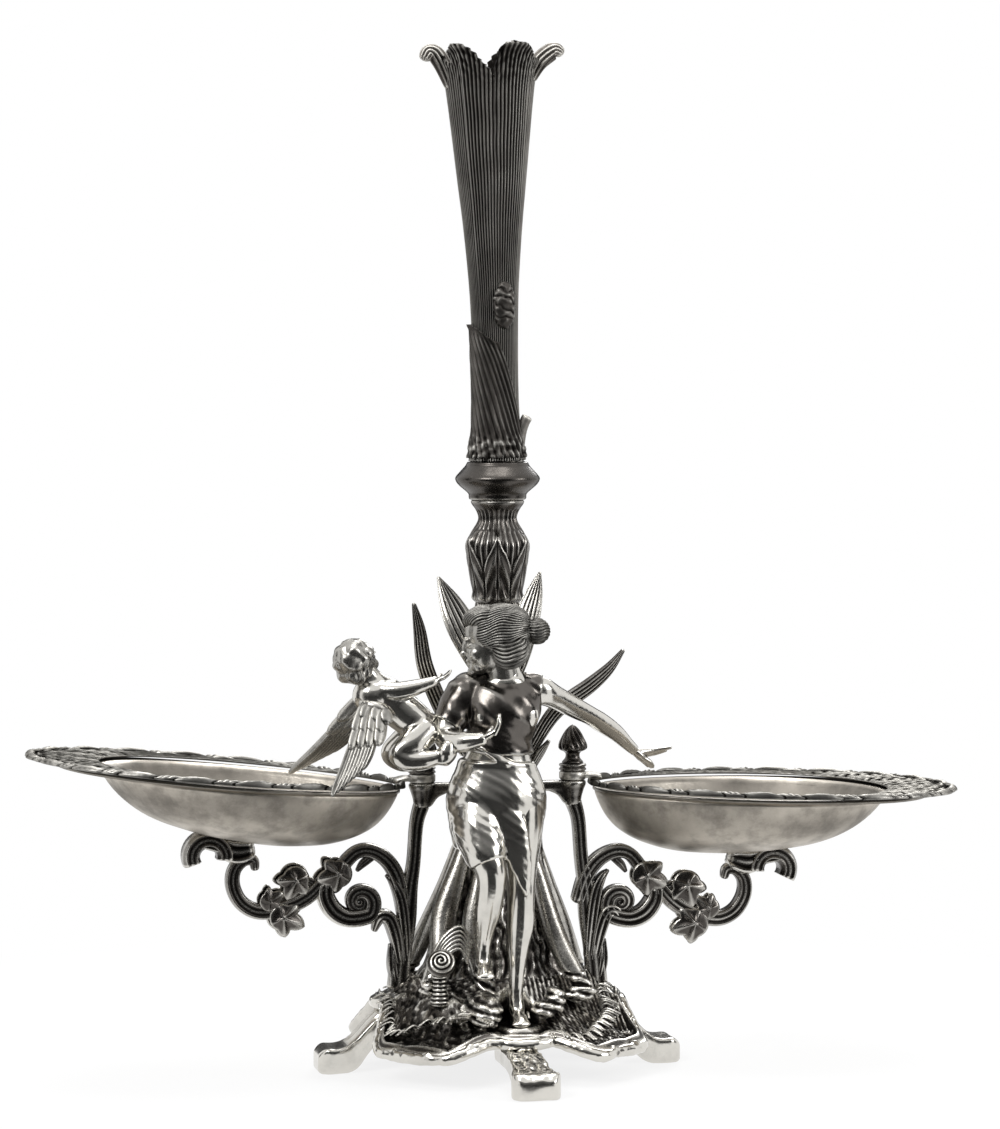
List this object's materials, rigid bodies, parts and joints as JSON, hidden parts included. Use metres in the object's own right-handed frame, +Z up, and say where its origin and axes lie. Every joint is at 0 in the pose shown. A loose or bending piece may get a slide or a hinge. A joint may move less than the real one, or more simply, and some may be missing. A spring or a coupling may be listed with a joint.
{
  "type": "epergne",
  "caption": "Silver-plated table centrepiece with a trumpet flower vase on a tree-trunk stem, a nymph and a small winged boy, and leaf-shaped dishes that swivel on scroll brackets.",
  "frame": {"origin": "on the table under the stem's axis", "axes": "+Z up along the stem, X along the two dishes, the nymph faces -Y"},
  "size_m": [0.4565, 0.2, 0.4918],
  "materials": {
    "oxidised_silver": "dark oxidised silver plate, satin",
    "polished_silver": "polished silver plate with dark recesses",
    "worn_silver": "worn, textured silver plate",
    "grey_pewter": "matt warm grey, mottled",
    "plain_steel": "plain"
  },
  "bodies": {
    "stand": {"trunk_lower": "oxidised_silver", "trunk_upper": "oxidised_silver", "stem_baluster": "oxidised_silver", "vase_socket": "oxidised_silver", "crossbar": "oxidised_silver", "bracket_left": "oxidised_silver", "bracket_right": "oxidised_silver", "foot_front": "polished_silver", "foot_back": "polished_silver", "foot_left": "polished_silver", "foot_right": "polished_silver", "nymph_body": "polished_silver", "nymph_right_arm": "polished_silver", "nymph_left_arm": "polished_silver", "nymph_wing_left": "polished_silver", "nymph_wing_right": "polished_silver", "boy_body": "polished_silver", "boy_arm": "polished_silver", "boy_wing_front": "polished_silver", "boy_wing_back": "polished_silver", "base_ground": "worn_silver", "leaf_tall": "worn_silver", "leaf_long": "worn_silver", "leaf_small": "worn_silver", "foot_screws": "plain_steel", "bracket_screws": "plain_steel", "nymph_screw": "plain_steel", "tie_rod": "plain_steel", "tie_nuts": "plain_steel", "tie_washer": "plain_steel", "boy_dowel": "plain_steel"},
    "vase": {"vase": "oxidised_silver"},
    "dish_left": {"dish_rim_left": "polished_silver", "dish_bowl_left": "grey_pewter"},
    "dish_right": {"dish_rim_right": "polished_silver", "dish_bowl_right": "grey_pewter"},
    "collar_left": {"finial_collar_left": "oxidised_silver"},
    "collar_right": {"finial_collar_right": "oxidised_silver"},
    "finial_left": {"finial_left": "oxidised_silver"},
    "finial_right": {"finial_right": "oxidised_silver"}
  },
  "joints": [
    {"name": "vase_lift", "type": "slide", "parent": "stand", "child": "vase", "axis": [0, 0, 1], "range_m": [0, 0.06]},
    {"name": "dish_left_swivel", "type": "hinge", "parent": "stand", "child": "dish_left", "pos_m": [-0.037, 0, 0.1403], "axis": [0, 0, 1], "range_deg": [-25, 2]},
    {"name": "dish_right_swivel", "type": "hinge", "parent": "stand", "child": "dish_right", "pos_m": [0.037, 0, 0.1403], "axis": [0, 0, 1], "range_deg": [-25, 25]},
    {"name": "finial_left_rise", "type": "slide", "parent": "stand", "child": "collar_left", "axis": [0, 0, 1], "range_m": [0, 0.004]},
    {"name": "finial_left_unscrew", "type": "hinge", "parent": "collar_left", "child": "finial_left", "pos_m": [-0.037, 0, 0.1462], "axis": [0, 0, 1], "range_deg": [0, 1440]},
    {"name": "finial_right_rise", "type": "slide", "parent": "stand", "child": "collar_right", "axis": [0, 0, 1], "range_m": [0, 0.004]},
    {"name": "finial_right_unscrew", "type": "hinge", "parent": "collar_right", "child": "finial_right", "pos_m": [0.037, 0, 0.1462], "axis": [0, 0, 1], "range_deg": [0, 1440]}
  ],
  "couplings": [
    {"joint": "finial_left_unscrew", "follows": "finial_left_rise", "rad_per_m": 6283.2},
    {"joint": "finial_right_unscrew", "follows": "finial_right_rise", "rad_per_m": 6283.2}
  ]
}
